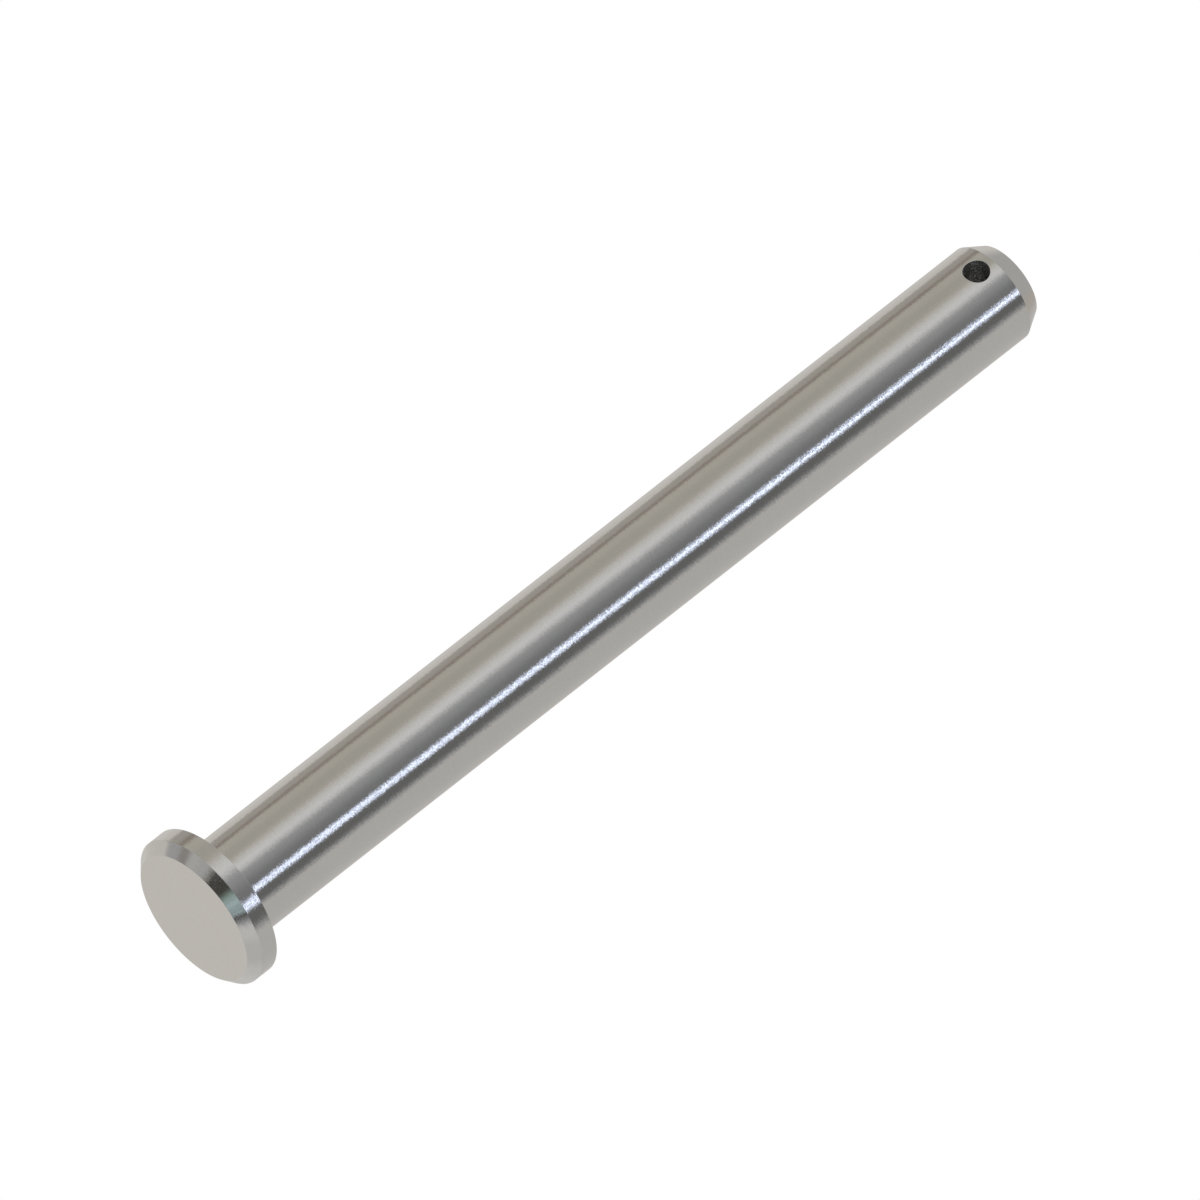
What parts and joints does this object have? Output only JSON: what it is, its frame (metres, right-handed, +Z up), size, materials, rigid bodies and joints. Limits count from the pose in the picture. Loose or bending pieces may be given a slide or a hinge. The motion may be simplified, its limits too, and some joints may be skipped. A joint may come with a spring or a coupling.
{
  "type": "clevis pin",
  "caption": "Headed clevis pin with a bevelled round head, plain shank, tapered tip and a split-pin cross hole near the end.",
  "frame": {"origin": "centre of the head's outer flat face, which the pin stands on", "axes": "+Z up the pin's axis from the head to the tip; Y along the split-pin hole; X square to both"},
  "size_m": [0.025, 0.025, 0.1645],
  "materials": {
    "turned_steel": "bright turned steel with a fine ground grain"
  },
  "bodies": {
    "root": {"clevis_pin": "turned_steel"}
  },
  "joints": []
}
